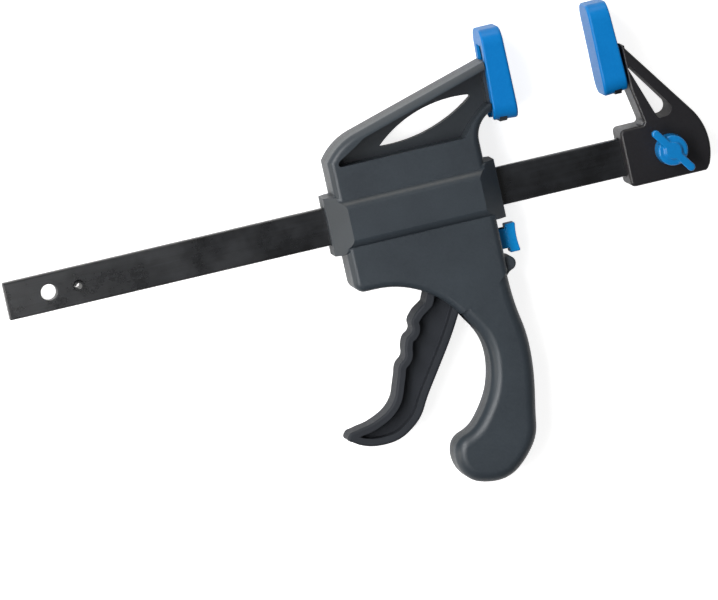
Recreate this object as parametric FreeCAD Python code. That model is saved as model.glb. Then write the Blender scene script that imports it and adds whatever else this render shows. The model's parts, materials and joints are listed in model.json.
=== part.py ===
import FreeCAD, Part
import math
import os

# Quick release bar clamp, lying on its side as it is put down on a bench.
# X runs along the bar towards the fixed jaw, Y towards the jaw tips, Z up through the thickness.
# The origin is the middle of the collar's flat back, under the bar's centreline.
# All lengths are in millimetres.

V = FreeCAD.Vector

# Flat steel bar
bar_width = 16.0
bar_thickness = 5.0
bar_length = 297.0
bar_end_past_knob = 11.7
bar_edge_chamfer = 0.6
bar_clearance = 0.15
hang_hole_radius = 3.4
hang_hole_inset = 18.3
stop_pin_inset = 31.0
stop_pin_radius = 2.0
stop_pin_bore_radius = 1.2
stop_pin_slot = 0.6
stop_pin_stand = 2.6

# Moulded housing of the moving jaw
housing_half_thickness = 12.0
housing_half_length = 32.3
housing_drop = 29.3
housing_edge_round = 3.0
housing_corner_round = 4.3
housing_wall = 2.8
collar_half_thickness = 15.0
collar_end_stand = 4.6
collar_half_height = 12.4
collar_rim_round = 2.4
collar_flat_half_height = 6.5
collar_slope_inset = 3.7
collar_end_half_thickness = 7.0
collar_swell_share = 0.72

# Arm of the moving jaw: an I-section with a web, a rim and a lens-shaped window
arm_reach = 39.6
arm_height = 53.5
arm_rim = 3.3
arm_web_half_thickness = 2.4
recess_bend_drop = 6.6
recess_foot_inset = 8.6
recess_corner_round = 1.2
window_left_round = 0.3
window_right_round = 0.8

# Pistol grip
grip_span = 42.4
grip_stand = 2.5
grip_depth = 119.6
grip_round = 4.8
grip_lead = 0.45
grip_overlap = 1.0
grip_wall = 2.8
ledge_half_thickness = 8.0
ledge_round = 1.0
ledge_stand = 4.4

# Jaw pads and the plates that carry them
pad_length = 38.3
pad_low_y = 28.2
pad_half_width = 12.4
pad_top_thickness = 9.0
pad_low_thickness = 10.6
pad_front_wall = 4.7
pad_top_wall = 3.0
pad_clearance = 0.1
pad_corner_round = 6.5
pad_face_round = 1.2
pad_back_round = 0.8
pad_low_slant = 1.0
pad_mouth_drop = 6.9
pad_gap = 37.0
pad_stand = 11.3
plate_thickness = 3.0
plate_half_width = 9.6
plate_low_stand = 1.2
plate_corner_round = 3.5
arm_end_gap = 0.4
neck_half_width = 6.4
neck_low_y = 33.6
neck_overlap = 1.2

# Fixed jaw, set back from the face of its pad
fixed_jaw_half_thickness = 10.8
fixed_jaw_edge_round = 1.3
sleeve_set_back = 2.8
sleeve_half_height = 12.2
sleeve_corner_round = 2.0
fixed_jaw_length = 39.2
fixed_arm_set_back = 11.0
fixed_arm_top = 47.6
elbow_set_back = 13.9
elbow_round = 1.5
fixed_window_rounds = (0.75, 1.3, 3.5)

# Quarter-turn locking knob
knob_set_back = 22.1
knob_base_radius = 6.7
knob_top_radius = 6.3
knob_height = 8.2
knob_edge_round = 1.0
knob_ear_reach = 11.8
knob_ear_width = 3.3
knob_ear_thickness = 3.4
knob_ear_angle = -55.0
knob_hub_radius = 3.6
knob_hub_blend = 2.0
knob_fin_rise = 1.4
knob_fin_round = 0.7
knob_gap = 0.3
knob_collar_radius = 5.0
knob_collar_depth = 6.4
knob_lug_radius = 6.4
knob_lug_thickness = 1.8
knob_lug_width = 3.0
knob_lug_drop = 3.4
knob_fit = 0.1
lock_pin_radius = 3.2
lock_pin_seat_depth = 4.4
lock_pin_socket_depth = 4.0

# Trigger
trigger_reach = 49.3
trigger_depth = 94.1
trigger_half_thickness = 8.0
trigger_flange = 3.2
trigger_web_half_thickness = 1.6
trigger_edge_round = 1.2
trigger_round_share = 0.85
trigger_pivot_x = 8.0
trigger_pivot_y = -26.0
trigger_travel = 16.5
fork_half_gap = 3.4
fork_nose_y = -8.0
fork_nose_radius = 4.0
fork_root_radius = 13.8
trigger_side_clearance = 0.6
pivot_pin_radius = 2.5
pivot_pin_clearance = 0.08
pivot_boss_depth = 2.2

# Drive plate and its spring
drive_plate_thickness = 4.0
drive_plate_half_width = 8.5
drive_plate_top = 11.0
drive_plate_low = 12.0
drive_plate_corner = 2.0
drive_plate_gap = 0.05
drive_spring_radius = 9.7
drive_spring_wire = 1.2
drive_spring_turns = 6
drive_spring_end_gap = 0.2
spring_chamber_radius = 10.8
spring_chamber_left = 28.6

# Brake plate, release tab and release spring
brake_pivot_x = 23.6
brake_pivot_y = 15.0
brake_tilt = 6.0
brake_release_travel = 2.8
brake_plate_thickness = 4.0
brake_plate_half_width = 8.2
brake_plate_reach = 40.0
brake_slot_clearance = 0.2
brake_tongue_half_width = 2.4
brake_tongue_length = 8.6
tab_gap = 3.6
tab_head_thickness = 4.6
tab_head_low = 28.0
tab_head_height = 12.2
tab_head_half_width = 3.5
tab_waist = 0.6
tab_neck_low = 25.9
tab_neck_height = 8.5
tab_neck_half_width = 3.2
tab_inner_x = 24.9
tab_round = 0.6
tab_clearance = 0.5
brake_pocket_left = 20.8
brake_pocket_right = 30.2
release_spring_y = -13.6
release_spring_radius = 2.1
release_spring_wire = 0.6
release_spring_turns = 4
release_spring_seat_x = 17.6

# Mechanism pocket and throat of the housing
pocket_half_depth = 8.9
pocket_left = 8.6
pocket_right = 16.4
pocket_low = 26.4
pocket_top = 11.8
throat_half_depth = 8.6

# Self-tapping housing screws
screw_head_radius = 3.2
screw_head_height = 2.2
screw_head_depth = 5.0
screw_shank_radius = 1.5
screw_length = 15.5
screw_clearance = 0.08
screw_recess_radius = 3.7
screw_boss_radius = 4.6
screw_passage_clearance = 0.3
screw_cross_width = 0.9
screw_cross_half_length = 1.9
screw_cross_depth = 1.2

overrun = 5.0

# Sizes and places that follow from the ones above
mid = collar_half_thickness
collar_half_length = housing_half_length + collar_end_stand
collar_top_half_length = housing_half_length - collar_slope_inset
moving_pad_face = arm_reach + pad_stand
fixed_pad_face = moving_pad_face + pad_gap
sleeve_left = fixed_pad_face + sleeve_set_back
fixed_arm_back = fixed_pad_face + fixed_arm_set_back
fixed_elbow_x = fixed_pad_face + elbow_set_back
knob_x = fixed_pad_face + knob_set_back
bar_right = knob_x + bar_end_past_knob
bar_left = bar_right - bar_length
tab_head_left = housing_half_length + tab_gap
pad_high_y = pad_low_y + pad_length
plate_front = pad_front_wall + pad_clearance
plate_back = plate_front + plate_thickness
slot_half_width = bar_width / 2 + bar_clearance
slot_half_thickness = bar_thickness / 2 + bar_clearance

# Arm outline as shares of the housing's half length (X) and the arm's height (Y)
arm_corner_share = 0.497
arm_knee_shares = (-0.573, 0.680)
arm_tip_low_share = 0.609
arm_floor_share = 0.4505
arm_recess_floor = arm_height * arm_floor_share
arm_under_end_share = 0.402

# Hollow of the arm's underside, as a share of the way from the housing's side to the arm's end (X)
# and of the arm's height (Y)
arm_under_bend_shares = (0.316, 0.527)

# Lens window in the web, as shares of the arm's reach and height
window_left_shares = (-0.220, 0.520)
window_right_shares = (0.872, 0.757)
window_top_shares = (0.200, 0.710)
window_low_shares = (0.430, 0.580)

# Underside of the housing over the trigger, as shares of housing length and drop
belly_start_share = -0.743
grip_root_shares = (0.680, -1.470)

# Grip outline as shares of the grip's span (X) and depth (Y), clockwise from the top right
grip_shares = (
    (0.929, 0.276),
    (0.940, 0.372),
    (1.000, 0.553),
    (0.941, 0.752),
    (0.817, 0.907),
    (0.400, 1.000),
    (0.094, 0.953),
    (0.055, 0.861),
    (0.338, 0.781),
    (0.551, 0.651),
    (0.575, 0.521),
    (0.397, 0.397),
)

# Small ledge under the release tab, from the housing's lower right corner, as shares of how far it
# stands out from the housing's side
ledge_top_shares = (0.540, 0.100)
ledge_tip_shares = (1.0, -0.666)
ledge_low_shares = (0.500, -1.198)
ledge_sweep_shares = (-0.043, -1.632)
ledge_root_shares = (-0.293, -2.464)

# Trigger outline as shares of its reach (X, leftwards) and depth (Y, downwards): the finger rests,
# the curled tip and the long back, up to the head
trigger_shares = (
    (0.082, 0.420),
    (0.192, 0.461),
    (0.235, 0.490),
    (0.245, 0.531),
    (0.311, 0.562),
    (0.338, 0.597),
    (0.352, 0.636),
    (0.420, 0.673),
    (0.454, 0.723),
    (0.550, 0.832),
    (0.760, 0.895),
    (0.886, 0.908),
    (0.961, 0.920),
    (0.980, 0.940),
    (0.936, 0.961),
    (0.811, 0.992),
    (0.688, 1.000),
    (0.552, 0.992),
    (0.396, 0.947),
    (0.192, 0.799),
    (-0.170, 0.507),
    (-0.274, 0.400),
    (-0.290, 0.260),
    (-0.262, 0.150),
)
trigger_front_shares = (-0.092, 0.215)
trigger_hip_shares = (0.020, 0.345)

# Fixed jaw outline as shares of the jaw's length behind its pad's face (X) and of the arm's top (Y)
fixed_right_start_shares = (0.883, 0.298)
fixed_right_bend_shares = (1.0, 0.010)
fixed_right_end_shares = (0.954, -0.205)
fixed_foot_share = 0.913
fixed_arm_side_share = 0.590

# Corners of the three-cornered window, as shares of the same two sizes
fixed_window_shares = ((0.261, 0.878), (0.509, 0.288), (0.748, 0.290))

# Screw places as shares of the housing's half length (X) and drop (Y)
screw_shares = (
    (-0.735, 0.610),
    (0.372, 0.610),
    (-0.740, -0.700),
    (0.760, -1.260),
    (0.785, -2.390),
    (0.300, -3.650),
)


def at(shares, width, height):
    """Point in the XY plane from a pair of shares."""
    return V(shares[0] * width, shares[1] * height, 0)


def at_ledge(shares):
    return V(housing_half_length + shares[0] * ledge_stand, shares[1] * ledge_stand - housing_drop, 0)


def at_fixed_jaw(shares):
    return V(fixed_pad_face + shares[0] * fixed_jaw_length, shares[1] * fixed_arm_top, 0)


def line(a, b):
    return Part.LineSegment(a, b).toShape()


def arc(a, through, b):
    return Part.Arc(a, through, b).toShape()


def polygon(points):
    return Part.makePolygon(list(points) + [points[0]])


def prism(wire, low, high):
    """Solid between two heights on a closed outline in the XY plane."""
    solid = Part.Face(wire).extrude(V(0, 0, high - low))
    solid.translate(V(0, 0, low))
    return solid


def block(x0, x1, y0, y1, z0, z1):
    return Part.makeBox(x1 - x0, y1 - y0, z1 - z0, V(x0, y0, z0))


def rod(radius, length, x, y, z):
    return Part.makeCylinder(radius, length, V(x, y, z))


def rod_along_x(radius, length, x, y, z):
    return Part.makeCylinder(radius, length, V(x, y, z), V(1, 0, 0))


def edges_at_height(shape, z):
    """Edges that lie wholly in the plane at height z."""
    found = []
    for edge in shape.Edges:
        box = edge.BoundBox
        if abs(box.ZMin - z) < 1e-4 and abs(box.ZMax - z) < 1e-4:
            found.append(edge)
    return found


def upright_edges(shape):
    """Straight edges that run along Z."""
    found = []
    for edge in shape.Edges:
        box = edge.BoundBox
        if box.XLength < 1e-4 and box.YLength < 1e-4:
            found.append(edge)
    return found


def upright_edges_at(shape, point):
    return [edge for edge in upright_edges(shape)
            if math.hypot(edge.BoundBox.XMin - point.x, edge.BoundBox.YMin - point.y) < 1e-3]


def meets(edge, point):
    """Whether an edge starts or ends at a place seen from above."""
    return any(math.hypot(v.X - point.x, v.Y - point.y) < 1e-3 for v in edge.Vertexes)


def edges_along_x(shape, least):
    """Edges that reach at least so far along X."""
    return [edge for edge in shape.Edges if edge.BoundBox.XLength > least]


def turned(shape, degrees, x, y):
    copy = shape.copy()
    copy.rotate(V(x, y, 0), V(0, 0, 1), degrees)
    return copy


def mirrored(shape):
    """The same shape on the other side of the clamp's middle plane, before it is raised."""
    return shape.mirror(V(0, 0, 0), V(0, 0, 1))


def raised(shape):
    """A shape drawn about the clamp's middle plane, put at its height above the bench."""
    copy = shape.copy()
    copy.translate(V(0, 0, mid))
    return copy


def pad_back(y):
    """Place of the moving pad's sloping back at a height along the jaw."""
    slope = (pad_low_thickness - pad_top_thickness) / pad_length
    return moving_pad_face - pad_low_thickness + slope * (y - pad_low_y)


def arm_end(y):
    """Place of the arm's end, just behind the moving pad."""
    return pad_back(y) - arm_end_gap


def arm_under_bend():
    """Middle of the hollow curve under the arm's end."""
    share_x, share_y = arm_under_bend_shares
    return V(housing_half_length + share_x * (arm_reach - housing_half_length), share_y * arm_height, 0)


def bent(start, end, along, sense):
    """Arc that leaves its start (sense 1) or reaches its end (sense -1) in a given direction."""
    chord = end - start
    side = V(-chord.y, chord.x, 0)
    lean = sense * math.atan2(side.dot(along), chord.dot(along))
    if abs(lean) < 1e-3:
        return line(start, end)
    return arc(start, (start + end) * 0.5 + side * (math.tan(lean / 2) / 2), end)


def housing_outline():
    """Body and arm of the moving jaw, down to where the grip takes over."""
    top = arm_height
    left = -housing_half_length
    bottom = -housing_drop
    corner_start = V(left, bottom + housing_corner_round, 0)
    arm_corner = V(left, arm_height * arm_corner_share, 0)
    knee = at(arm_knee_shares, housing_half_length, arm_height)
    low_y = arm_height * arm_tip_low_share
    tip = V(arm_end(top), top, 0)
    tip_low = V(arm_end(low_y), low_y, 0)
    under_end = V(housing_half_length, arm_height * arm_under_end_share, 0)
    root = at(grip_root_shares, housing_half_length, housing_drop)
    side_low = V(under_end.x, grip_points()[0].y - grip_overlap, 0)
    crotch = under_crotch()
    belly = V(housing_half_length * belly_start_share, bottom, 0)
    corner_end = V(left + housing_corner_round, bottom, 0)
    return Part.Wire([
        line(corner_start, arm_corner),
        bent(arm_corner, knee, (tip - knee).normalize(), -1),
        line(knee, tip),
        line(tip, tip_low),
        bent(tip_low, under_end, V(0, -1, 0), -1),
        line(under_end, side_low),
        line(side_low, root),
        line(root, crotch),
        bent(crotch, belly, V(-1, 0, 0), -1),
        line(belly, corner_end),
        bent(corner_end, corner_start, V(0, 1, 0), -1),
    ])


def through_tangent(before, here, after):
    """Direction of the circle through three points at the middle one."""
    a = (here - before)
    b = (after - here)
    la, lb = a.Length, b.Length
    along = a * (lb / la) + b * (la / lb)
    return along.normalize()


def smooth_curve(points):
    """Open curve of arcs that meet without a corner, two for each span between points."""
    tangents = [through_tangent(points[i - 1], points[i], points[i + 1])
                for i in range(1, len(points) - 1)]
    first = (points[1] - points[0]).normalize()
    last = (points[-1] - points[-2]).normalize()
    tangents = [first] + tangents + [last]
    edges = []
    for i in range(len(points) - 1):
        a, b = points[i], points[i + 1]
        ta, tb = tangents[i], tangents[i + 1]
        span = b - a
        lean = span.dot(ta + tb)
        open_share = 2 * (1 - ta.dot(tb))
        if open_share < 1e-6:
            reach = span.dot(span) / (2 * lean)
        else:
            reach = (math.sqrt(lean * lean + open_share * span.dot(span)) - lean) / open_share
        joint = (a + ta * reach + b - tb * reach) * 0.5
        edges.append(bent(a, joint, ta, 1))
        edges.append(bent(joint, b, tb, -1))
    return edges


def grip_points():
    left = housing_half_length + grip_stand - grip_span
    return [V(left + sx * grip_span, -sy * grip_depth, 0) for sx, sy in grip_shares]


def under_crotch():
    """Where the housing's underside meets the grip."""
    return grip_points()[-1] - V(grip_lead, 0, 0)


def grip_outline():
    """Pistol grip: one smooth curve, closed by straight lines inside the housing."""
    points = grip_points()
    start = points[0]
    end = points[-1]
    inside = V(end.x, start.y, 0)
    return Part.Wire(smooth_curve(points) + [line(end, inside), line(inside, start)])


def grip_hollow():
    """The grip's own points, moved inwards by the wall, for the room inside it."""
    points = grip_points()
    inner = []
    for i in range(1, len(points) - 1):
        along = through_tangent(points[i - 1], points[i], points[i + 1])
        inner.append(points[i] + V(along.y, -along.x, 0) * grip_wall)
    return Part.Wire(smooth_curve(inner) + [line(inner[-1], inner[0])])


def arm_recess():
    """Room over the arm's sunk panel, which leaves the rim all round and a thin web."""
    floor = arm_recess_floor
    knee = at(arm_knee_shares, housing_half_length, arm_height)
    slope = (arm_height - knee.y) / (arm_reach - knee.x)
    drop = arm_rim * math.sqrt(1 + slope * slope)
    left = -housing_half_length + arm_rim
    high_left = V(left + arm_rim / 2, arm_height * arm_corner_share, 0)
    bend = V(knee.x - arm_rim, knee.y - recess_bend_drop, 0)
    inner_knee = V(knee.x + arm_rim, knee.y + slope * arm_rim - drop, 0)
    end_x = arm_reach + overrun
    end_high = V(end_x, knee.y + slope * (end_x - knee.x) - drop, 0)
    tip_low_y = arm_height * arm_tip_low_share + arm_rim
    end_low = V(end_x, tip_low_y, 0)
    lip = V(arm_reach - arm_rim / 3, tip_low_y, 0)
    under = arm_under_bend()
    lip_bend = V(under.x - arm_rim / 2, under.y + arm_rim, 0)
    foot = V(under.x - recess_foot_inset, floor, 0)
    corner = V(left, floor, 0)
    wire = Part.Wire([
        line(corner, high_left),
        arc(high_left, bend, inner_knee),
        line(inner_knee, end_high),
        line(end_high, end_low),
        line(end_low, lip),
        arc(lip, lip_bend, foot),
        line(foot, corner),
    ])
    room = prism(wire, arm_web_half_thickness, housing_half_thickness + overrun)
    return room.makeFillet(recess_corner_round, upright_edges_at(room, corner))


def arm_window():
    """Lens-shaped window between two arcs."""
    left = at(window_left_shares, arm_reach, arm_height)
    right = at(window_right_shares, arm_reach, arm_height)
    upper = arc(left, at(window_top_shares, arm_reach, arm_height), right)
    lower = arc(right, at(window_low_shares, arm_reach, arm_height), left)
    lens = prism(Part.Wire([upper, lower]), -overrun, overrun)
    lens = lens.makeFillet(window_left_round, upright_edges_at(lens, left))
    return lens.makeFillet(window_right_round, upright_edges_at(lens, right))


def collar_half():
    """Raised band round the bar: a flat crown with round shoulders and sloping ends."""
    crown = collar_half_thickness
    face = housing_half_thickness
    side = collar_half_height
    shoulder = side - collar_rim_round
    flat = collar_flat_half_height
    middle = (flat + shoulder) / 2
    swell = (crown - face) * collar_swell_share
    corner = collar_rim_round * (1 - math.sqrt(0.5))
    edges = [
        line(V(0, -side, 0), V(0, -side, face - collar_rim_round)),
        arc(V(0, -side, face - collar_rim_round), V(0, -side + corner, face - corner),
            V(0, -shoulder, face)),
        arc(V(0, -shoulder, face), V(0, -middle, face + swell), V(0, -flat, crown)),
        line(V(0, -flat, crown), V(0, flat, crown)),
        arc(V(0, flat, crown), V(0, middle, face + swell), V(0, shoulder, face)),
        arc(V(0, shoulder, face), V(0, side - corner, face - corner),
            V(0, side, face - collar_rim_round)),
        line(V(0, side, face - collar_rim_round), V(0, side, 0)),
        line(V(0, side, 0), V(0, -side, 0)),
    ]
    band = Part.Face(Part.Wire(edges)).extrude(V(2 * collar_half_length, 0, 0))
    band.translate(V(-collar_half_length, 0, 0))
    end = collar_half_length
    top = collar_top_half_length
    rise = collar_end_half_thickness
    ends = Part.makePolygon([
        V(-end, -side, 0), V(-end, -side, rise), V(-top, -side, crown),
        V(top, -side, crown), V(end, -side, rise), V(end, -side, 0), V(-end, -side, 0)])
    slopes = Part.Face(ends).extrude(V(0, 2 * side, 0))
    return band.common(slopes)


def ledge():
    """Small finger ledge of the housing below the release tab."""
    top = at_ledge(ledge_top_shares)
    low = at_ledge(ledge_low_shares)
    root = at_ledge(ledge_root_shares)
    inside = housing_half_length - housing_wall
    wire = Part.Wire([
        line(V(inside, top.y, 0), top),
        arc(top, at_ledge(ledge_tip_shares), low),
        arc(low, at_ledge(ledge_sweep_shares), root),
        line(root, V(inside, root.y, 0)),
        line(V(inside, root.y, 0), V(inside, top.y, 0)),
    ])
    solid = prism(wire, 0, ledge_half_thickness)
    rim = [edge for edge in edges_at_height(solid, ledge_half_thickness)
           if edge.BoundBox.XMax > top.x - ledge_round]
    return solid.makeFillet(ledge_round, rim)


def pad_plate(face_x, outward, low_z):
    """Upright plate with round corners that a pad slides over."""
    low = pad_low_y - plate_low_stand
    high = pad_high_y - pad_top_wall - pad_clearance
    near = face_x - outward * plate_front
    far = face_x - outward * plate_back
    plate = block(min(near, far), max(near, far), low, high, low_z, plate_half_width)
    corners = [edge for edge in edges_along_x(plate, plate_thickness / 2)
               if abs(abs(edge.BoundBox.ZMin) - plate_half_width) < 1e-3]
    return plate.makeFillet(plate_corner_round, corners)


def brake_sweep(tilt, grow):
    """The brake plate's room at one tilt, widened on both faces."""
    half = brake_plate_thickness / 2 + grow
    room = block(brake_pivot_x - half, brake_pivot_x + half,
                 brake_pivot_y - brake_plate_reach - grow, brake_pivot_y + half,
                 -pocket_half_depth, pocket_half_depth)
    return turned(room, tilt, brake_pivot_x, brake_pivot_y)


def tab_opening(angle):
    """Way out for the tab's neck when the brake plate has turned by an angle."""
    opening = block(brake_pocket_right - overrun, housing_half_length + overrun,
                    -tab_neck_low - tab_clearance, -tab_neck_low + tab_neck_height + tab_clearance,
                    -tab_neck_half_width - tab_clearance, tab_neck_half_width + tab_clearance)
    return turned(opening, angle, brake_pivot_x, brake_pivot_y)


def housing_hollow():
    """Everything that is open inside the pair of shells."""
    rooms = []
    reach = collar_half_length + overrun
    rooms.append(block(-reach, reach, -slot_half_width, slot_half_width,
                       -slot_half_thickness, slot_half_thickness))
    rooms.append(rod_along_x(spring_chamber_radius, spring_chamber_left + pocket_right,
                             -spring_chamber_left, 0, 0))
    rooms.append(block(-pocket_left, pocket_right, -pocket_low, pocket_top,
                       -pocket_half_depth, pocket_half_depth))
    rooms.append(throat())
    rooms.append(block(brake_pocket_left, brake_pocket_right,
                       -housing_drop + housing_wall, slot_half_width + bar_clearance,
                       -pocket_half_depth, pocket_half_depth))
    rooms.append(brake_sweep(brake_tilt, bar_clearance))
    rooms.append(brake_sweep(brake_tilt - brake_release_travel, bar_clearance))
    rooms.append(tab_opening(0))
    rooms.append(tab_opening(-brake_release_travel))
    seat = release_spring_seat_x - release_spring_wire / 2
    rooms.append(rod_along_x(release_spring_radius + release_spring_wire, brake_pocket_left - seat,
                             seat, release_spring_y, 0))
    return rooms


def throat():
    """Slot in the underside that the trigger comes out of and swings in."""
    crotch = under_crotch()
    left = -trigger_reach * trigger_shares[0][0] - 2 * trigger_side_clearance
    right = throat_right(crotch.y)
    return prism(polygon([
        V(left, -pocket_low, 0),
        V(left, crotch.y, 0),
        V(trigger_pivot_x, crotch.y - fork_root_radius, 0),
        V(right - housing_wall, crotch.y - trigger_half_thickness, 0),
        V(right, crotch.y, 0),
        V(right, -pocket_low + fork_nose_radius, 0),
        V(left, -pocket_low + fork_nose_radius, 0),
    ]), -throat_half_depth, throat_half_depth)


def throat_right(low_y):
    """Where the back of the fully squeezed trigger reaches inside the housing."""
    pivot = V(trigger_pivot_x, trigger_pivot_y, 0)
    swing = FreeCAD.Rotation(V(0, 0, 1), trigger_travel)
    backs = [trigger_point(shares) for shares in trigger_shares]
    reach = [pivot.x + swing.multVec(back - pivot).x for back in backs if back.y > low_y]
    return max(reach) + trigger_side_clearance


def screw_places():
    return [at(shares, housing_half_length, housing_drop) for shares in screw_shares]


def moulding_rooms():
    """Rooms that thin the moulding away from the mechanism, with the screw bosses left standing."""
    deep = housing_half_thickness - housing_wall
    left = -housing_half_length + housing_wall
    upper = block(left, pocket_right, collar_half_height + housing_wall / 2,
                  arm_recess_floor - housing_wall, -deep, deep)
    lower = block(left, -pocket_left - housing_wall, -housing_drop + housing_wall,
                  -collar_half_height - housing_wall / 2, -deep, deep)
    grip = prism(grip_hollow(), -deep, deep)
    bosses = [rod(screw_boss_radius, 2 * deep, p.x, p.y, -deep) for p in screw_places()]
    return [room.cut(bosses) for room in (upper, lower, grip)]


def shell_half():
    """Half of the housing, on the positive side of the middle plane."""
    top = housing_half_thickness
    body = prism(housing_outline(), 0, top)
    root = at(grip_root_shares, housing_half_length, housing_drop)
    rim = [edge for edge in edges_at_height(body, top)
           if edge.BoundBox.XMin < arm_reach and not meets(edge, root)]
    body = body.makeFillet(housing_edge_round, rim)
    grip = prism(grip_outline(), 0, top)
    rim = [edge for edge in edges_at_height(grip, top) if edge.Curve.TypeId != "Part::GeomLine"]
    grip = grip.makeFillet(grip_round, rim)
    body = body.fuse([grip, ledge()]).removeSplitter()
    body = body.cut([arm_recess(), arm_window()])
    body = body.fuse(collar_half())
    neck = block(arm_end(arm_height) - neck_overlap, moving_pad_face - plate_front - plate_thickness / 2,
                 neck_low_y, arm_height - neck_overlap / 2, 0, neck_half_width)
    body = body.fuse([neck, pad_plate(moving_pad_face, 1, 0)])
    bore = rod(pivot_pin_radius + pivot_pin_clearance, housing_half_thickness - pivot_boss_depth / 2,
               trigger_pivot_x, trigger_pivot_y, 0)
    return body.cut(housing_hollow() + moulding_rooms() + [bore])


def make_shells():
    half = shell_half()
    pilots = []
    passages = []
    for place in screw_places():
        deep = screw_length - (housing_half_thickness - screw_head_depth) + screw_clearance
        pilots.append(rod(screw_shank_radius + screw_clearance, deep, place.x, place.y, 0))
        passages.append(rod(screw_shank_radius + screw_passage_clearance, housing_half_thickness,
                            place.x, place.y, -housing_half_thickness))
        passages.append(rod(screw_recess_radius, screw_head_depth + overrun, place.x, place.y,
                            -housing_half_thickness - overrun))
    front = half.cut(pilots).removeSplitter()
    rear = mirrored(half).cut(passages).removeSplitter()
    return raised(front), raised(rear)


def make_screw(place):
    """Pan-head self-tapping screw, driven in from the back."""
    seat = -housing_half_thickness + screw_head_depth
    head = rod(screw_head_radius, screw_head_height, place.x, place.y, seat - screw_head_height)
    rim = edges_at_height(head, seat - screw_head_height)
    head = head.makeChamfer(screw_head_height / 2, rim)
    shank = rod(screw_shank_radius, screw_length, place.x, place.y, seat)
    half = screw_cross_width / 2
    long_half = screw_cross_half_length
    low = seat - screw_head_height - overrun
    deep = screw_cross_depth + overrun
    high = low + deep
    cross = [block(place.x - long_half, place.x + long_half, place.y - half, place.y + half, low, high),
             block(place.x - half, place.x + half, place.y - long_half, place.y + long_half, low, high)]
    return raised(head.fuse(shank).cut(cross).removeSplitter())


def make_pivot_pin():
    length = 2 * (housing_half_thickness - pivot_boss_depth)
    pin = rod(pivot_pin_radius, length, trigger_pivot_x, trigger_pivot_y, -length / 2)
    return raised(pin)


def end_rim(solid, outward):
    """Edges round the face that lies furthest along X in one direction."""
    face = max(solid.Faces, key=lambda candidate: candidate.CenterOfMass.x * outward)
    return face.OuterWire.Edges


def make_pad(face_x, outward):
    """Blue cap: a wedge with round corners and a T-slot that is open at the bottom."""
    def across(depth, y):
        return V(face_x - outward * depth, y, 0)
    wire = polygon([across(0, pad_low_y - pad_low_slant), across(0, pad_high_y),
                    across(pad_top_thickness, pad_high_y), across(pad_low_thickness, pad_low_y)])
    solid = prism(wire, -pad_half_width, pad_half_width)
    solid = solid.makeFillet(pad_corner_round, edges_along_x(solid, pad_top_thickness / 2))
    solid = solid.makeFillet(pad_face_round, end_rim(solid, outward))
    solid = solid.makeFillet(pad_back_round, end_rim(solid, -outward))
    low = pad_low_y - overrun
    near = across(pad_front_wall, 0).x
    far = across(plate_back + pad_clearance, 0).x
    beyond = across(pad_low_thickness + overrun, 0).x
    wide = plate_half_width + pad_clearance
    narrow = neck_half_width + pad_clearance
    high = pad_high_y - pad_top_wall
    slot = block(min(near, far), max(near, far), low, high, -wide, wide)
    corners = [edge for edge in edges_along_x(slot, plate_thickness / 2) if edge.BoundBox.YMin > low]
    slot = slot.makeFillet(plate_corner_round + pad_clearance, corners)
    mouth = block(min(far, beyond), max(far, beyond), low, pad_high_y - pad_mouth_drop, -narrow, narrow)
    return raised(solid.cut([slot, mouth]).removeSplitter())


def make_bar():
    flat = block(bar_left, bar_right, -bar_width / 2, bar_width / 2,
                 -bar_thickness / 2, bar_thickness / 2)
    flat = flat.makeChamfer(bar_edge_chamfer, edges_along_x(flat, bar_length / 2))
    holes = []
    for x, radius in ((bar_left + hang_hole_inset, hang_hole_radius),
                      (bar_left + stop_pin_inset, stop_pin_radius),
                      (knob_x, lock_pin_radius + bar_clearance)):
        holes.append(rod(radius, bar_thickness + 2 * overrun, x, 0, -bar_thickness / 2 - overrun))
    return raised(flat.cut(holes))


def make_stop_pin():
    """Slotted spring pin, which stands out on both faces of the bar."""
    x = bar_left + stop_pin_inset
    half = bar_thickness / 2 + stop_pin_stand
    pin = rod(stop_pin_radius, 2 * half, x, 0, -half)
    bore = rod(stop_pin_bore_radius, 2 * half + 2 * overrun, x, 0, -half - overrun)
    slot = block(x - overrun, x, -stop_pin_slot / 2, stop_pin_slot / 2, -half - overrun, half + overrun)
    return raised(pin.cut([bore, slot]))


def fixed_jaw_outline():
    top = fixed_arm_top
    low = -sleeve_half_height
    bend_start = at_fixed_jaw(fixed_right_start_shares)
    bend_end = at_fixed_jaw(fixed_right_end_shares)
    foot = V(fixed_pad_face + fixed_jaw_length * fixed_foot_share, low, 0)
    side = V(fixed_arm_back, top * fixed_arm_side_share, 0)
    elbow = V(fixed_elbow_x, sleeve_half_height, 0)
    return Part.Wire([
        line(V(sleeve_left, low, 0), V(sleeve_left, sleeve_half_height, 0)),
        line(V(sleeve_left, sleeve_half_height, 0), elbow),
        line(elbow, side),
        line(side, V(fixed_arm_back, top, 0)),
        line(V(fixed_arm_back, top, 0), bend_start),
        arc(bend_start, at_fixed_jaw(fixed_right_bend_shares), bend_end),
        line(bend_end, foot),
        line(foot, V(sleeve_left, low, 0)),
    ])


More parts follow.
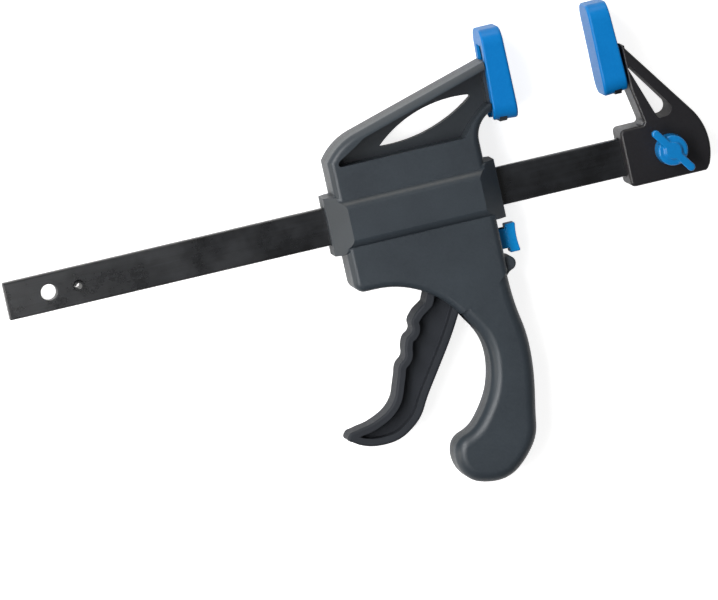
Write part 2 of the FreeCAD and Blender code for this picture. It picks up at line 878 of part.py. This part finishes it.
def make_fixed_jaw():
    """Moulded jaw: a socket for the bar, an arm with a window, a pad plate and the knob's seat."""
    top = fixed_jaw_half_thickness
    solid = prism(fixed_jaw_outline(), -top, top)
    corners = [edge for edge in upright_edges(solid)
               if abs(edge.BoundBox.XMin - sleeve_left) < 1e-3
               or abs(edge.BoundBox.YMin + sleeve_half_height) < 1e-3]
    solid = solid.makeFillet(sleeve_corner_round, corners)
    solid = solid.makeFillet(elbow_round, upright_edges_at(solid, V(fixed_elbow_x, sleeve_half_height, 0)))
    rims = edges_at_height(solid, top) + edges_at_height(solid, -top)
    solid = solid.makeFillet(fixed_jaw_edge_round, rims)
    window_corners = [at_fixed_jaw(shares) for shares in fixed_window_shares]
    window = prism(polygon(window_corners), -top - overrun, top + overrun)
    for corner, radius in zip(window_corners, fixed_window_rounds):
        window = window.makeFillet(radius, upright_edges_at(window, corner))
    neck = block(fixed_pad_face + plate_front + plate_thickness / 2, fixed_arm_back + sleeve_corner_round,
                 neck_low_y, fixed_arm_top - fixed_jaw_edge_round, -neck_half_width, neck_half_width)
    solid = solid.fuse([neck, pad_plate(fixed_pad_face, -1, -plate_half_width)])
    socket = block(sleeve_left - overrun, bar_right + bar_clearance,
                   -slot_half_width, slot_half_width, -slot_half_thickness, slot_half_thickness)
    bore = rod(knob_collar_radius + knob_fit, top + overrun, knob_x, 0, 0)
    groove_low = top - knob_lug_drop - knob_lug_thickness - knob_fit
    groove = rod(knob_lug_radius + knob_fit, knob_lug_thickness + 2 * knob_fit, knob_x, 0, groove_low)
    gate_half = knob_lug_width / 2 + knob_fit
    gate = block(-knob_lug_radius - knob_fit, knob_lug_radius + knob_fit, -gate_half, gate_half,
                 groove_low, top + overrun)
    gate.translate(V(knob_x, 0, 0))
    gate = turned(gate, knob_ear_angle + 90, knob_x, 0)
    pin_low = -bar_thickness / 2 - lock_pin_seat_depth
    pin_bore = rod(lock_pin_radius + knob_fit, top - pin_low, knob_x, 0, pin_low - knob_fit)
    return raised(solid.cut([window, socket, bore, groove, gate, pin_bore]).removeSplitter())


def knob_fin(low, high):
    """The knob's grip: a bar with round ears that blends into a round hub."""
    half = knob_ear_width / 2
    reach = knob_ear_reach - half
    bar = block(-reach, reach, -half, half, low, high)
    ends = [rod(half, high - low, side * reach, 0, low) for side in (-1, 1)]
    fin = bar.fuse(ends + [rod(knob_hub_radius, high - low, 0, 0, low)]).removeSplitter()
    blends = [edge for edge in upright_edges(fin) if abs(edge.BoundBox.XMin) < knob_hub_radius]
    fin = fin.makeFillet(knob_hub_blend, blends)
    return fin.makeFillet(knob_fin_round, edges_at_height(fin, high))


def make_lock_knob():
    """Blue knob: a tall button under a finned grip, on a collar with two bayonet lugs."""
    face = fixed_jaw_half_thickness + knob_gap
    top = face + knob_height
    button = Part.makeCone(knob_base_radius, knob_top_radius, knob_height, V(0, 0, face))
    button = button.makeFillet(knob_edge_round, edges_at_height(button, top))
    fin = knob_fin(top + knob_fin_rise - knob_ear_thickness, top + knob_fin_rise)
    collar_low = face - knob_collar_depth
    collar = rod(knob_collar_radius, knob_collar_depth, 0, 0, collar_low)
    lug_top = fixed_jaw_half_thickness - knob_lug_drop
    lug_disc = rod(knob_lug_radius, knob_lug_thickness, 0, 0, lug_top - knob_lug_thickness)
    lug_bar = block(-knob_lug_radius, knob_lug_radius, -knob_lug_width / 2, knob_lug_width / 2,
                    lug_top - knob_lug_thickness, lug_top)
    knob = button.fuse([fin, collar, lug_disc.common(lug_bar)])
    socket = rod(lock_pin_radius, lock_pin_socket_depth, 0, 0, collar_low)
    knob = knob.cut(socket).removeSplitter()
    knob.translate(V(knob_x, 0, 0))
    return raised(turned(knob, knob_ear_angle, knob_x, 0))


def make_lock_pin():
    low = -bar_thickness / 2 - lock_pin_seat_depth
    high = fixed_jaw_half_thickness + knob_gap - knob_collar_depth + lock_pin_socket_depth
    pin = rod(lock_pin_radius, high - low, knob_x, 0, low)
    return raised(pin.makeChamfer(bar_edge_chamfer, edges_at_height(pin, low)))


def trigger_point(shares):
    return V(-shares[0] * trigger_reach, -shares[1] * trigger_depth, 0)


def trigger_outline():
    """Finger side with its rests, curled tip, long back and the fork's head."""
    curve = [trigger_point(shares) for shares in trigger_shares]
    start = curve[0]
    nose_right = V(trigger_pivot_x + fork_nose_radius, fork_nose_y, 0)
    nose_left = V(trigger_pivot_x - fork_nose_radius, fork_nose_y, 0)
    nose_top = V(trigger_pivot_x, fork_nose_y + fork_nose_radius, 0)
    front = trigger_point(trigger_front_shares)
    hip = trigger_point(trigger_hip_shares)
    return Part.Wire(smooth_curve(curve) + [
        line(curve[-1], nose_right),
        arc(nose_right, nose_top, nose_left),
        line(nose_left, front),
        line(front, hip),
        line(hip, start),
    ])


def tightest_bend(wire):
    """Least radius among an outline's arcs."""
    return min(edge.Curve.Radius for edge in wire.Edges if edge.Curve.TypeId == "Part::GeomCircle")


def make_trigger():
    """I-section lever whose forked head straddles the bar and pushes the drive plate."""
    half = trigger_half_thickness
    wire = trigger_outline()
    solid = prism(wire, -half, half)
    lever_low = -housing_drop - 2 * trigger_edge_round
    rims = [edge for edge in edges_at_height(solid, half) + edges_at_height(solid, -half)
            if edge.BoundBox.YMax < lever_low and edge.Curve.TypeId != "Part::GeomLine"]
    edge_round = min(trigger_edge_round, tightest_bend(wire) * trigger_round_share)
    solid = solid.makeFillet(edge_round, rims)
    inner = wire.makeOffset2D(-trigger_flange)
    lever = block(-trigger_reach, trigger_reach, -trigger_depth, lever_low - trigger_flange,
                  -half - overrun, half + overrun)
    panel = prism(inner, trigger_web_half_thickness, half + overrun).common(lever)
    solid = solid.cut([panel, mirrored(panel)])
    gap = block(trigger_pivot_x - fork_root_radius, trigger_pivot_x + fork_root_radius,
                trigger_pivot_y, fork_nose_y + overrun, -fork_half_gap, fork_half_gap)
    root = rod(fork_root_radius, 2 * fork_half_gap, trigger_pivot_x, trigger_pivot_y, -fork_half_gap)
    bore = rod(pivot_pin_radius + pivot_pin_clearance, 2 * half + 2 * overrun,
               trigger_pivot_x, trigger_pivot_y, -half - overrun)
    return raised(solid.cut([gap.cut(root), bore]).removeSplitter())


def drive_plate_right():
    return trigger_pivot_x - fork_nose_radius - drive_plate_gap


def make_drive_plate():
    right = drive_plate_right()
    plate = block(right - drive_plate_thickness, right, -drive_plate_low, drive_plate_top,
                  -drive_plate_half_width, drive_plate_half_width)
    corners = [edge for edge in plate.Edges if edge.BoundBox.XLength > drive_plate_thickness / 2]
    plate = plate.makeFillet(drive_plate_corner, corners)
    slot = block(right - drive_plate_thickness - overrun, right + overrun,
                 -slot_half_width, slot_half_width, -slot_half_thickness, slot_half_thickness)
    return raised(plate.cut(slot))


def make_brake_plate():
    """Steel plate hung at its upper end, tilted so that its slot bites the bar."""
    half = brake_plate_thickness / 2
    low = brake_pivot_y - brake_plate_reach
    wide_low = low + brake_tongue_length
    body = block(-half, half, wide_low, brake_pivot_y, -brake_plate_half_width, brake_plate_half_width)
    tongue = block(-half, half, low, wide_low, -brake_tongue_half_width, brake_tongue_half_width)
    crown = rod(half, 2 * brake_plate_half_width, 0, brake_pivot_y, -brake_plate_half_width)
    plate = body.fuse([tongue, crown]).removeSplitter()
    lean = math.radians(brake_tilt)
    slot_height = bar_width / math.cos(lean) + brake_plate_thickness * math.tan(lean)
    slot_half = slot_height / 2 + brake_slot_clearance
    slot_y = brake_pivot_y - brake_pivot_y / math.cos(lean)
    slot = block(-half - overrun, half + overrun, slot_y - slot_half, slot_y + slot_half,
                 -slot_half_thickness, slot_half_thickness)
    plate = plate.cut(slot)
    plate.translate(V(brake_pivot_x, 0, 0))
    return turned(plate, brake_tilt, brake_pivot_x, brake_pivot_y)


def make_release_tab(plate):
    """Thumb tab: a head outside the housing and a neck pressed over the brake plate's tongue."""
    left = tab_head_left
    right = left + tab_head_thickness
    low = -tab_head_low
    high = low + tab_head_height
    wire = Part.Wire([
        line(V(left, high, 0), V(left, low, 0)),
        line(V(left, low, 0), V(right, low, 0)),
        arc(V(right, low, 0), V(right - tab_waist, (low + high) / 2, 0), V(right, high, 0)),
        line(V(right, high, 0), V(left, high, 0)),
    ])
    head = prism(wire, -tab_head_half_width, tab_head_half_width)
    head = head.makeFillet(tab_round, head.Edges)
    neck = block(tab_inner_x, tab_head_left + tab_head_thickness / 2, -tab_neck_low,
                 -tab_neck_low + tab_neck_height, -tab_neck_half_width, tab_neck_half_width)
    return head.fuse(neck).removeSplitter().cut(plate).removeSplitter()


def coil(radius, wire_diameter, turns, length, x, y):
    """Compression spring along X as one unbroken six-sided tube on arcs of a quarter turn."""
    pitch = length / turns
    edges = []

    def place(angle):
        return V(x + pitch * angle / (2 * math.pi), y + radius * math.cos(angle),
                 radius * math.sin(angle))
    quarters = int(turns * 4)
    for step in range(quarters):
        a = step * math.pi / 2
        edges.append(arc(place(a), place(a + math.pi / 4), place(a + math.pi / 2)))
    start = place(0)
    ahead = edges[0].tangentAt(edges[0].FirstParameter)
    outwards = V(0, 1, 0)
    sideways = ahead.cross(outwards)
    ring = []
    for side in range(6):
        angle = side * math.pi / 3
        offset = outwards * math.cos(angle) + sideways * math.sin(angle)
        ring.append(start + offset * (wire_diameter / 2))
    return raised(Part.Wire(edges).makePipeShell([polygon(ring)], True, False))


def make_drive_spring():
    left = -spring_chamber_left + drive_spring_wire / 2 + drive_spring_end_gap
    right = drive_plate_right() - drive_plate_thickness - drive_spring_wire / 2 - drive_spring_end_gap
    gap = (right - left) / drive_spring_turns - drive_spring_wire
    print("least gap between the drive spring's coils", round(gap, 2))
    return coil(drive_spring_radius, drive_spring_wire, drive_spring_turns, right - left, left, 0)


def make_release_spring():
    lean = math.tan(math.radians(brake_tilt))
    plate_left = (brake_pivot_x - brake_plate_thickness / 2
                  + (brake_pivot_y - release_spring_y - release_spring_radius) * lean)
    right = plate_left - release_spring_wire / 2 - drive_spring_end_gap
    length = right - release_spring_seat_x
    gap = length / release_spring_turns - release_spring_wire
    print("least gap between the release spring's coils", round(gap, 2))
    return coil(release_spring_radius, release_spring_wire, release_spring_turns, length,
                release_spring_seat_x, release_spring_y)


def make_all():
    parts = {}
    parts["front_shell"], parts["rear_shell"] = make_shells()
    parts["moving_jaw_pad"] = make_pad(moving_pad_face, 1)
    parts["trigger_pivot_pin"] = make_pivot_pin()
    for number, place in enumerate(screw_places(), 1):
        parts["housing_screw_%d" % number] = make_screw(place)
    parts["drive_spring"] = make_drive_spring()
    parts["release_spring"] = make_release_spring()
    parts["bar"] = make_bar()
    parts["stop_pin"] = make_stop_pin()
    parts["fixed_jaw"] = make_fixed_jaw()
    parts["fixed_jaw_pad"] = make_pad(fixed_pad_face, -1)
    parts["trigger"] = make_trigger()
    parts["drive_plate"] = make_drive_plate()
    plate = make_brake_plate()
    parts["brake_plate"] = raised(plate)
    parts["release_tab"] = raised(make_release_tab(plate))
    parts["lock_knob"] = make_lock_knob()
    parts["lock_pin"] = make_lock_pin()
    return parts


def main():
    os.makedirs("parts", exist_ok=True)
    for name, shape in make_all().items():
        if len(shape.Solids) == 1:
            shape = shape.Solids[0]
        print(name, len(shape.Solids), shape.isValid(), round(shape.Volume))
        shape.exportStep("parts/" + name + ".step")


main()
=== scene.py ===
import bpy
import json
import math
from mathutils import Matrix, Vector


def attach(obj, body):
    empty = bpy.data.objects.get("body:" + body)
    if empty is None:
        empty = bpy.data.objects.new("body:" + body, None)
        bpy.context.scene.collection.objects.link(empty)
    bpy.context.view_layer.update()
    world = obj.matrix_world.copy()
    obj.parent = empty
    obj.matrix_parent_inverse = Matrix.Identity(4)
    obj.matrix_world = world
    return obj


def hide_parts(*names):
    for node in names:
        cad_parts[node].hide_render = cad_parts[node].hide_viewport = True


# Quick release bar clamp, photographed lying flat with its bar rising to the right.
# Everything is in metres, in the frame of the solids: X along the bar, Y towards the jaw tips, Z up.

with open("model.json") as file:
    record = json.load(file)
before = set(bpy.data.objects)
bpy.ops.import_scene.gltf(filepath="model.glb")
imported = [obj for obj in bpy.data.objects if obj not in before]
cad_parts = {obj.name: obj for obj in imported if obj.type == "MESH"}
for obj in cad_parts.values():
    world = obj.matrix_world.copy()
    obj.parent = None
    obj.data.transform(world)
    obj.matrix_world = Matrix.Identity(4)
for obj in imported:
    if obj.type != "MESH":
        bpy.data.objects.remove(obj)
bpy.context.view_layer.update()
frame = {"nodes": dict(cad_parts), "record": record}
bpy.ops.object.select_all(action="DESELECT")
nodes = frame["nodes"]

MM = 0.001

# Photograph: its width in pixels, its scale on the object and the point at its middle. The camera is
# rolled by ROLL radians, and it leans left and up by LEAN_X and LEAN_Y for each unit of height
PHOTO_WIDTH = 718
METRES_PER_PIXEL = 0.41757 * MM
AIM = Vector((-30.6 * MM, -32.9 * MM, 17.5 * MM))
ROLL = 0.23027
LEAN_X = -0.125
LEAN_Y = 0.12
CAMERA_LENS = 1000
CAMERA_SENSOR = 36
CAMERA_REACH = 40.0

# Height at which the two halves of the housing meet. SHADES gives distances from it in mm and how much
# of the colour stays there:
# painted shade, darkest at the joint line and lighter on the sunk panels, whose faces are 2.4 mm away
SEAM_Z = 15.0 * MM
SHADED_REACH = 4.0 * MM
SHADES = ((0.8, 0.05), (1.2, 1.0), (1.9, 1.0), (2.1, 0.5), (2.7, 0.5), (2.9, 1.0))
# Colour of the painted shade at the joint line and on the sunk panels
SEAM_PAINTED_SHADE = "#0F1012"

# Sizes of the surface patterns in mm. Drawing lines and plating crystals are finer on the real parts,
# and are drawn as coarse as they need to show
FLOW_SHADE_MM = 28.0
DRAWING_LINE_MM = 0.9
DRAWING_LINE_LENGTH_MM = 30.0
DRAWING_LINE_DEPTH_MM = 0.02
SMUDGE_MM = 14.0
PLATING_CRYSTAL_MM = 2.5

# Clean-up of the solids' meshes: points closer than MERGE_MM join, and faces that turn by less than
# FLAT_ANGLE. Edges sharper than EDGE_ANGLE are broken, and those under SMOOTH_ANGLE are shaded smooth
MERGE_MM = 0.004
FLAT_ANGLE = math.radians(0.5)
SMOOTH_ANGLE = math.radians(32)
EDGE_ANGLE = math.radians(38)

# Width in mm of the broken edges on the larger pieces that show
EDGES_MM = {
    "front_shell": 0.4,
    "rear_shell": 0.25,
    "fixed_jaw": 0.2,
    "trigger": 0.2,
    "moving_jaw_pad": 0.3,
    "fixed_jaw_pad": 0.3,
    "lock_knob": 0.7,
    "release_tab": 0.2,
    "bar": 0.4,
    "stop_pin": 0.1,
}

# Studio: glow of the white paper as the camera sees it and as glossy faces mirror it, its size and its
# gap below the clamp, the plain light all round, and the tints of the lamps
PAPER_SEEN = 0.8
PAPER_MIRRORED = 0.2
PAPER_SIZE = 6.0
PAPER_GAP = 0.3 * MM
ROOM_LIGHT = 0.2
WHITE = (1.0, 1.0, 1.0)
WARM = (1.0, 0.93, 0.82)


# Materials

def linear(hex_colour):
    """sRGB hex to the linear values that the shaders take."""
    channels = []
    for start in (1, 3, 5):
        value = int(hex_colour[start:start + 2], 16) / 255
        if value <= 0.04045:
            channels.append(value / 12.92)
        else:
            channels.append(((value + 0.055) / 1.055) ** 2.4)
    return (*channels, 1.0)


def add_node(tree, kind, settings=None, links=None):
    """A shader node with its settings; links maps an input to the output that feeds it.
    A Math node's inputs share one name, so they are given by their numbers."""
    node = tree.nodes.new(kind)
    for name, value in (settings or {}).items():
        if isinstance(name, int) or name in node.inputs:
            node.inputs[name].default_value = value
        else:
            setattr(node, name, value)
    for name, output in (links or {}).items():
        tree.links.new(output, node.inputs[name])
    return node


def start_material(name, colour, roughness, metallic=0.0, ior=None):
    """New material with a Principled shader and its plain values, over which patterns are linked."""
    material = bpy.data.materials.new(name)
    material.use_nodes = True
    tree = material.node_tree
    shader = tree.nodes["Principled BSDF"]
    shader.inputs["Base Color"].default_value = linear(colour)
    shader.inputs["Roughness"].default_value = roughness
    shader.inputs["Metallic"].default_value = metallic
    if ior is not None:
        shader.inputs["IOR"].default_value = ior
    return material, tree, shader


def paint_shade_at_seam(tree, place, colour_output):
    """The colour, darkened as painted shade near the joint between the housing's halves and on the sunk
    panels, as SHADES says.
    """
    height = add_node(tree, "ShaderNodeSeparateXYZ", links={"Vector": place})
    above = add_node(tree, "ShaderNodeMath",
                     {"operation": "SUBTRACT", 1: SEAM_Z},
                     {0: height.outputs["Z"]})
    away = add_node(tree, "ShaderNodeMath",
                    {"operation": "ABSOLUTE"},
                    {0: above.outputs["Value"]})
    share = add_node(tree, "ShaderNodeMapRange",
                     {"From Min": 0.0, "From Max": SHADED_REACH},
                     {"Value": away.outputs["Value"]})
    # Painted shade: the plastic darkens by distance from the joint, as SHADES gives
    seam_shade_ramp = add_node(tree, "ShaderNodeValToRGB", links={"Fac": share.outputs["Result"]})
    stops = seam_shade_ramp.color_ramp.elements
    for distance_mm, _ in SHADES[1:-1]:
        stops.new(distance_mm * MM / SHADED_REACH)
    for stop, (distance_mm, lit_share) in zip(stops, SHADES):
        stop.position = distance_mm * MM / SHADED_REACH
        stop.color = (lit_share, lit_share, lit_share, 1.0)
    seam_shaded = add_node(tree, "ShaderNodeMix",
                      {"data_type": "RGBA", "A": linear(SEAM_PAINTED_SHADE)},
                      {"Factor": seam_shade_ramp.outputs["Color"], "B": colour_output})
    return seam_shaded.outputs["Result"]


def moulded(name, colour, lit_colour, roughness, grain_mm, grain_depth_mm, ior, painted_seam_shade=False):
    """Injection-moulded plastic from a spark-eroded tool: a fine even grain and faint flow shades."""
    material, tree, shader = start_material(name, colour, roughness, ior=ior)
    place = add_node(tree, "ShaderNodeTexCoord").outputs["Object"]
    flow = add_node(tree, "ShaderNodeTexNoise",
                    {"Scale": 1 / (FLOW_SHADE_MM * MM), "Detail": 3.0, "Roughness": 0.5},
                    {"Vector": place})
    grain = add_node(tree, "ShaderNodeTexNoise",
                     {"Scale": 1 / (grain_mm * MM), "Detail": 2.0, "Roughness": 0.6},
                     {"Vector": place})
    shades = add_node(tree, "ShaderNodeMix",
                      {"data_type": "FLOAT", "Factor": 0.35},
                      {"A": flow.outputs["Fac"], "B": grain.outputs["Fac"]})
    ramp = add_node(tree, "ShaderNodeValToRGB", links={"Fac": shades.outputs["Result"]})
    for stop, position, shade in zip(ramp.color_ramp.elements, (0.34, 0.68), (colour, lit_colour)):
        stop.position = position
        stop.color = linear(shade)
    painted = ramp.outputs["Color"]
    # Painted shade at the joint line and on the sunk panels
    if painted_seam_shade:
        painted = paint_shade_at_seam(tree, place, painted)
    tree.links.new(painted, shader.inputs["Base Color"])
    rough = add_node(tree, "ShaderNodeMapRange",
                     {"From Min": 0.3, "From Max": 0.7,
                      "To Min": roughness - 0.05, "To Max": roughness + 0.07},
                     {"Value": grain.outputs["Fac"]})
    tree.links.new(rough.outputs["Result"], shader.inputs["Roughness"])
    bump = add_node(tree, "ShaderNodeBump",
                    {"Strength": 0.5, "Distance": grain_depth_mm * MM},
                    {"Height": grain.outputs["Fac"]})
    tree.links.new(bump.outputs["Normal"], shader.inputs["Normal"])
    return material


def black_oxide_steel():
    """Cold-drawn flat bar, chemically blackened: drawing lines along it, oily smudges and a soft sheen.
    The oxide layer isn't metallic."""
    material, tree, shader = start_material("black_oxide_steel", "#121316", 0.3, ior=1.5)
    place = add_node(tree, "ShaderNodeTexCoord").outputs["Object"]
    long_way = add_node(tree, "ShaderNodeMapping",
                        {"Scale": (DRAWING_LINE_MM / DRAWING_LINE_LENGTH_MM, 1.0, 1.0)},
                        {"Vector": place})
    lines = add_node(tree, "ShaderNodeTexNoise",
                     {"Scale": 1 / (DRAWING_LINE_MM * MM), "Detail": 3.0, "Roughness": 0.6},
                     {"Vector": long_way.outputs["Vector"]})
    smudges = add_node(tree, "ShaderNodeTexNoise",
                       {"Scale": 1 / (SMUDGE_MM * MM), "Detail": 5.0, "Roughness": 0.65},
                       {"Vector": place})
    mixed = add_node(tree, "ShaderNodeMix",
                     {"data_type": "FLOAT", "Factor": 0.6},
                     {"A": lines.outputs["Fac"], "B": smudges.outputs["Fac"]})
    ramp = add_node(tree, "ShaderNodeValToRGB", links={"Fac": mixed.outputs["Result"]})
    for stop, position, shade in zip(ramp.color_ramp.elements, (0.36, 0.66), ("#08090B", "#1B1D21")):
        stop.position = position
        stop.color = linear(shade)
    tree.links.new(ramp.outputs["Color"], shader.inputs["Base Color"])
    rough = add_node(tree, "ShaderNodeMapRange",
                     {"From Min": 0.35, "From Max": 0.65, "To Min": 0.24, "To Max": 0.36},
                     {"Value": smudges.outputs["Fac"]})
    tree.links.new(rough.outputs["Result"], shader.inputs["Roughness"])
    bump = add_node(tree, "ShaderNodeBump",
                    {"Strength": 0.35, "Distance": DRAWING_LINE_DEPTH_MM * MM},
                    {"Height": lines.outputs["Fac"]})
    tree.links.new(bump.outputs["Normal"], shader.inputs["Normal"])
    return material


def plated_steel(name, colour, roughness):
    """Steel that is zinc-plated, drawn or blackened: a fine crystalline haze without direction.
    It keeps a metal's default IOR."""
    material, tree, shader = start_material(name, colour, roughness, metallic=1.0)
    place = add_node(tree, "ShaderNodeTexCoord").outputs["Object"]
    haze = add_node(tree, "ShaderNodeTexNoise",
                    {"Scale": 1 / (PLATING_CRYSTAL_MM * MM), "Detail": 4.0, "Roughness": 0.6},
                    {"Vector": place})
    rough = add_node(tree, "ShaderNodeMapRange",
                     {"From Min": 0.3, "From Max": 0.7,
                      "To Min": roughness - 0.06, "To Max": roughness + 0.1},
                     {"Value": haze.outputs["Fac"]})
    tree.links.new(rough.outputs["Result"], shader.inputs["Roughness"])
    return material


materials = {
    # Glass-filled nylon housing: dark blue-grey with a fine moulded grain, and painted shade at the
    # joint line and on the sunk panels
    "housing": moulded("moulded_nylon_blue_grey", "#262D34", "#30383F", roughness=0.42,
                       grain_mm=0.7, grain_depth_mm=0.04, ior=1.5, painted_seam_shade=True),
    # The trigger's nylon: greyer and more matte than the housing
    "trigger": moulded("moulded_nylon_trigger", "#272A2F", "#303339", roughness=0.62,
                       grain_mm=0.7, grain_depth_mm=0.05, ior=1.3),
    # Near-black nylon of the fixed jaw: a slight sheen over the grain
    "black_moulding": moulded("moulded_nylon_black", "#131216", "#1B1A1E", roughness=0.36,
                              grain_mm=0.7, grain_depth_mm=0.04, ior=1.5),
    # Soft PVC jaw pads: satin mid blue, almost without grain
    "pad": moulded("soft_pvc_blue", "#006EB6", "#0079C2", roughness=0.36,
                   grain_mm=0.9, grain_depth_mm=0.01, ior=1.3),
    # Acetal release tab: satin blue, slightly lighter than the pads
    "tab": moulded("moulded_acetal_blue", "#0A7AC0", "#0A86CC", roughness=0.3,
                   grain_mm=0.9, grain_depth_mm=0.012, ior=1.25),
    # Acetal lock knob: the glossiest of the blue pieces
    "knob": moulded("moulded_acetal_bright_blue", "#0072B6", "#007EC4", roughness=0.16,
                    grain_mm=1.2, grain_depth_mm=0.006, ior=1.5),
    "black_steel": black_oxide_steel(),
    "bright_steel": plated_steel("zinc_plated_steel", "#B9BBBD", roughness=0.34),
    "spring_steel": plated_steel("drawn_spring_wire", "#8C8D8F", roughness=0.3),
    "screw_steel": plated_steel("blackened_screw_steel", "#3A3A3C", roughness=0.42),
}


# Pieces

def deselect_all():
    bpy.ops.object.select_all(action="DESELECT")


def make_active(piece):
    deselect_all()
    piece.select_set(True)
    bpy.context.view_layer.objects.active = piece


def apply_modifiers(piece):
    make_active(piece)
    for modifier in list(piece.modifiers):
        bpy.ops.object.modifier_apply(modifier=modifier.name)


def finished_copy(node_name, body, slot_name, edge_mm):
    """A CAD node's own shape with its seams merged, its edges softly broken and its curves smooth.
    The shells' edges lie close together, so there a broken edge stops where it meets another."""
    node = nodes[node_name]
    piece = node.copy()
    piece.data = node.data.copy()
    piece.name = node_name + "_finish"
    for key in list(piece.keys()):
        if key.startswith("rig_"):
            del piece[key]
    bpy.context.scene.collection.objects.link(piece)
    piece.parent = None
    piece.matrix_world = Matrix.Identity(4)
    make_active(piece)
    bpy.ops.object.mode_set(mode="EDIT")
    bpy.ops.mesh.select_all(action="SELECT")
    bpy.ops.mesh.remove_doubles(threshold=MERGE_MM * MM)
    bpy.ops.mesh.dissolve_limited(angle_limit=FLAT_ANGLE)
    bpy.ops.object.mode_set(mode="OBJECT")
    bevel = piece.modifiers.new("edge", "BEVEL")
    bevel.width = edge_mm * MM
    bevel.segments = 2
    bevel.limit_method = "ANGLE"
    bevel.angle_limit = EDGE_ANGLE
    bevel.use_clamp_overlap = node_name.endswith("_shell")
    apply_modifiers(piece)
    bpy.ops.object.shade_smooth_by_angle(angle=SMOOTH_ANGLE)
    weigh = piece.modifiers.new("flat_faces", "WEIGHTED_NORMAL")
    weigh.keep_sharp = True
    apply_modifiers(piece)
    piece.data.materials.clear()
    piece.data.materials.append(materials[slot_name])
    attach(piece, body)
    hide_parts(node_name)


slots = {part["node"]: part["material_slot"] for part in frame["record"]["subparts"]}
bodies = {
    member: body
    for body, members in frame["record"]["behaviour"]["bodies"].items()
    for member in members
}

for node_name, edge_mm in EDGES_MM.items():
    finished_copy(node_name, bodies[node_name], slots[node_name], edge_mm)
for node_name, node in nodes.items():
    node.data.materials.clear()
    node.data.materials.append(materials[slots[node_name]])


# Studio

def white_floor_material():
    """Seamless white paper: plain diffuse, lifted to white for the camera, so soft shadows stay."""
    material, tree, shader = start_material("white_paper", "#E6E6E6", 0.9, ior=1.35)
    shader.inputs["Specular IOR Level"].default_value = 0.1
    path = add_node(tree, "ShaderNodeLightPath")
    mirrored = add_node(tree, "ShaderNodeMath",
                        {"operation": "MULTIPLY", 1: PAPER_MIRRORED},
                        {0: path.outputs["Is Glossy Ray"]})
    strength = add_node(tree, "ShaderNodeMath",
                        {"operation": "MULTIPLY_ADD", 1: PAPER_SEEN},
                        {0: path.outputs["Is Camera Ray"], 2: mirrored.outputs["Value"]})
    shader.inputs["Emission Color"].default_value = (*WHITE, 1.0)
    tree.links.new(strength.outputs["Value"], shader.inputs["Emission Strength"])
    return material


bpy.ops.mesh.primitive_plane_add(size=PAPER_SIZE, location=(0, 0, -PAPER_GAP))
floor = bpy.context.object
floor.name = "floor"
floor.data.transform(floor.matrix_world)
floor.matrix_world = Matrix.Identity(4)
floor.data.materials.append(white_floor_material())

world = bpy.data.worlds.new("studio")
bpy.context.scene.world = world
world.use_nodes = True
background = world.node_tree.nodes["Background"]
background.inputs["Color"].default_value = (*WHITE, 1.0)
background.inputs["Strength"].default_value = ROOM_LIGHT


def softbox(name, place, size, power, colour=WHITE):
    """Square area lamp at a place in metres, which faces the middle of the clamp."""
    lamp = bpy.data.lights.new(name, "AREA")
    lamp.shape = "SQUARE"
    lamp.size = size
    lamp.energy = power
    lamp.color = colour
    holder = bpy.data.objects.new(name, lamp)
    bpy.context.scene.collection.objects.link(holder)
    holder.location = place
    holder.rotation_euler = (AIM - Vector(place)).to_track_quat("-Z", "Y").to_euler()


# The two low lamps mirror in the collar's slopes and in the edges that face them
softbox("upper_left_softbox", (-0.6, 0.6, 0.9), size=0.6, power=10.0)
softbox("left_softbox", (-0.3, -0.03, 0.55), size=0.25, power=2.0)
softbox("far_edge_softbox", (0.05, 1.1, 0.24), size=0.45, power=3.0, colour=WARM)
softbox("left_edge_softbox", (-1.1, -0.1, 0.24), size=0.45, power=2.4, colour=WARM)

# Camera: long lens, from above and a little to the left, rolled so that the bar rises to the right
towards = Vector((LEAN_X, LEAN_Y, 1)).normalized()
across = Vector((math.cos(ROLL), -math.sin(ROLL), 0))
across = (across - towards * across.dot(towards)).normalized()
upwards = towards.cross(across)
distance = CAMERA_LENS * PHOTO_WIDTH * METRES_PER_PIXEL / CAMERA_SENSOR
camera_data = bpy.data.cameras.new("camera")
camera_data.lens = CAMERA_LENS
camera_data.sensor_width = CAMERA_SENSOR
camera_data.clip_end = CAMERA_REACH
camera = bpy.data.objects.new("camera", camera_data)
bpy.context.scene.collection.objects.link(camera)
camera.matrix_world = Matrix.Translation(AIM + towards * distance) @ Matrix(
    (across, upwards, towards)).transposed().to_4x4()
bpy.context.scene.camera = camera
bpy.context.scene.view_settings.view_transform = "Standard"

deselect_all()
